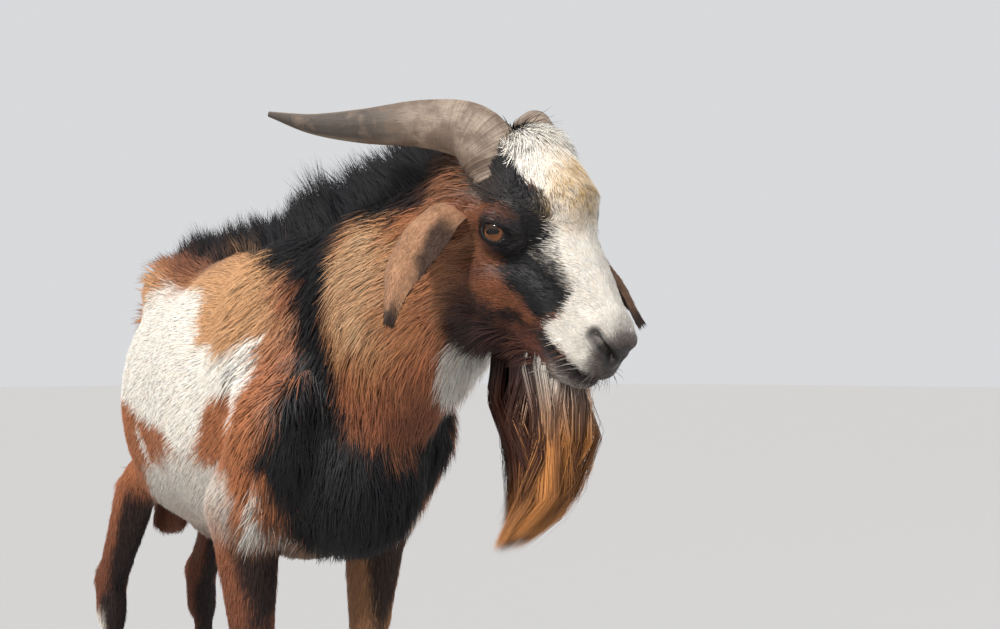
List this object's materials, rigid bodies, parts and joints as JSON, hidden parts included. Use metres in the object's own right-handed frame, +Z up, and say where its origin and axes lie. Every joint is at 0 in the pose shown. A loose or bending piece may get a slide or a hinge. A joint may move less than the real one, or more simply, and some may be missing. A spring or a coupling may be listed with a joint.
{
  "type": "goat",
  "caption": "Life-size standing billy goat with swept-back horns, hanging ears, a long beard and a patched brown, black and white coat.",
  "frame": {"origin": "middle of the box round the goat, at the level of the soles", "axes": "+Z up, the goat faces -Y, its left side is at +X"},
  "size_m": [0.335, 0.9464, 0.8074],
  "materials": {
    "coat": "short to shaggy hair in brown, black and white patches over matt skin",
    "ear": "short velvety hair, tan outside and dark inside",
    "eye": "glossy amber eye with a dark level pupil",
    "horn": "ridged grey-brown horn, slightly worn",
    "beard": "long glossy hair, dark, white and orange in locks",
    "hoof": "dark grey horn, dull"
  },
  "bodies": {
    "root": {"head": "coat", "neck": "coat", "trunk": "coat", "tail": "coat", "scrotum": "coat", "leg_front_right": "coat", "leg_front_left": "coat", "leg_hind_right": "coat", "leg_hind_left": "coat", "ear_right": "ear", "ear_left": "ear", "eye_right": "eye", "eye_left": "eye", "horn_right": "horn", "horn_left": "horn", "beard": "beard", "hoof_front_right_inner": "hoof", "hoof_front_right_outer": "hoof", "hoof_front_left_inner": "hoof", "hoof_front_left_outer": "hoof", "hoof_hind_right_inner": "hoof", "hoof_hind_right_outer": "hoof", "hoof_hind_left_inner": "hoof", "hoof_hind_left_outer": "hoof"}
  },
  "joints": []
}
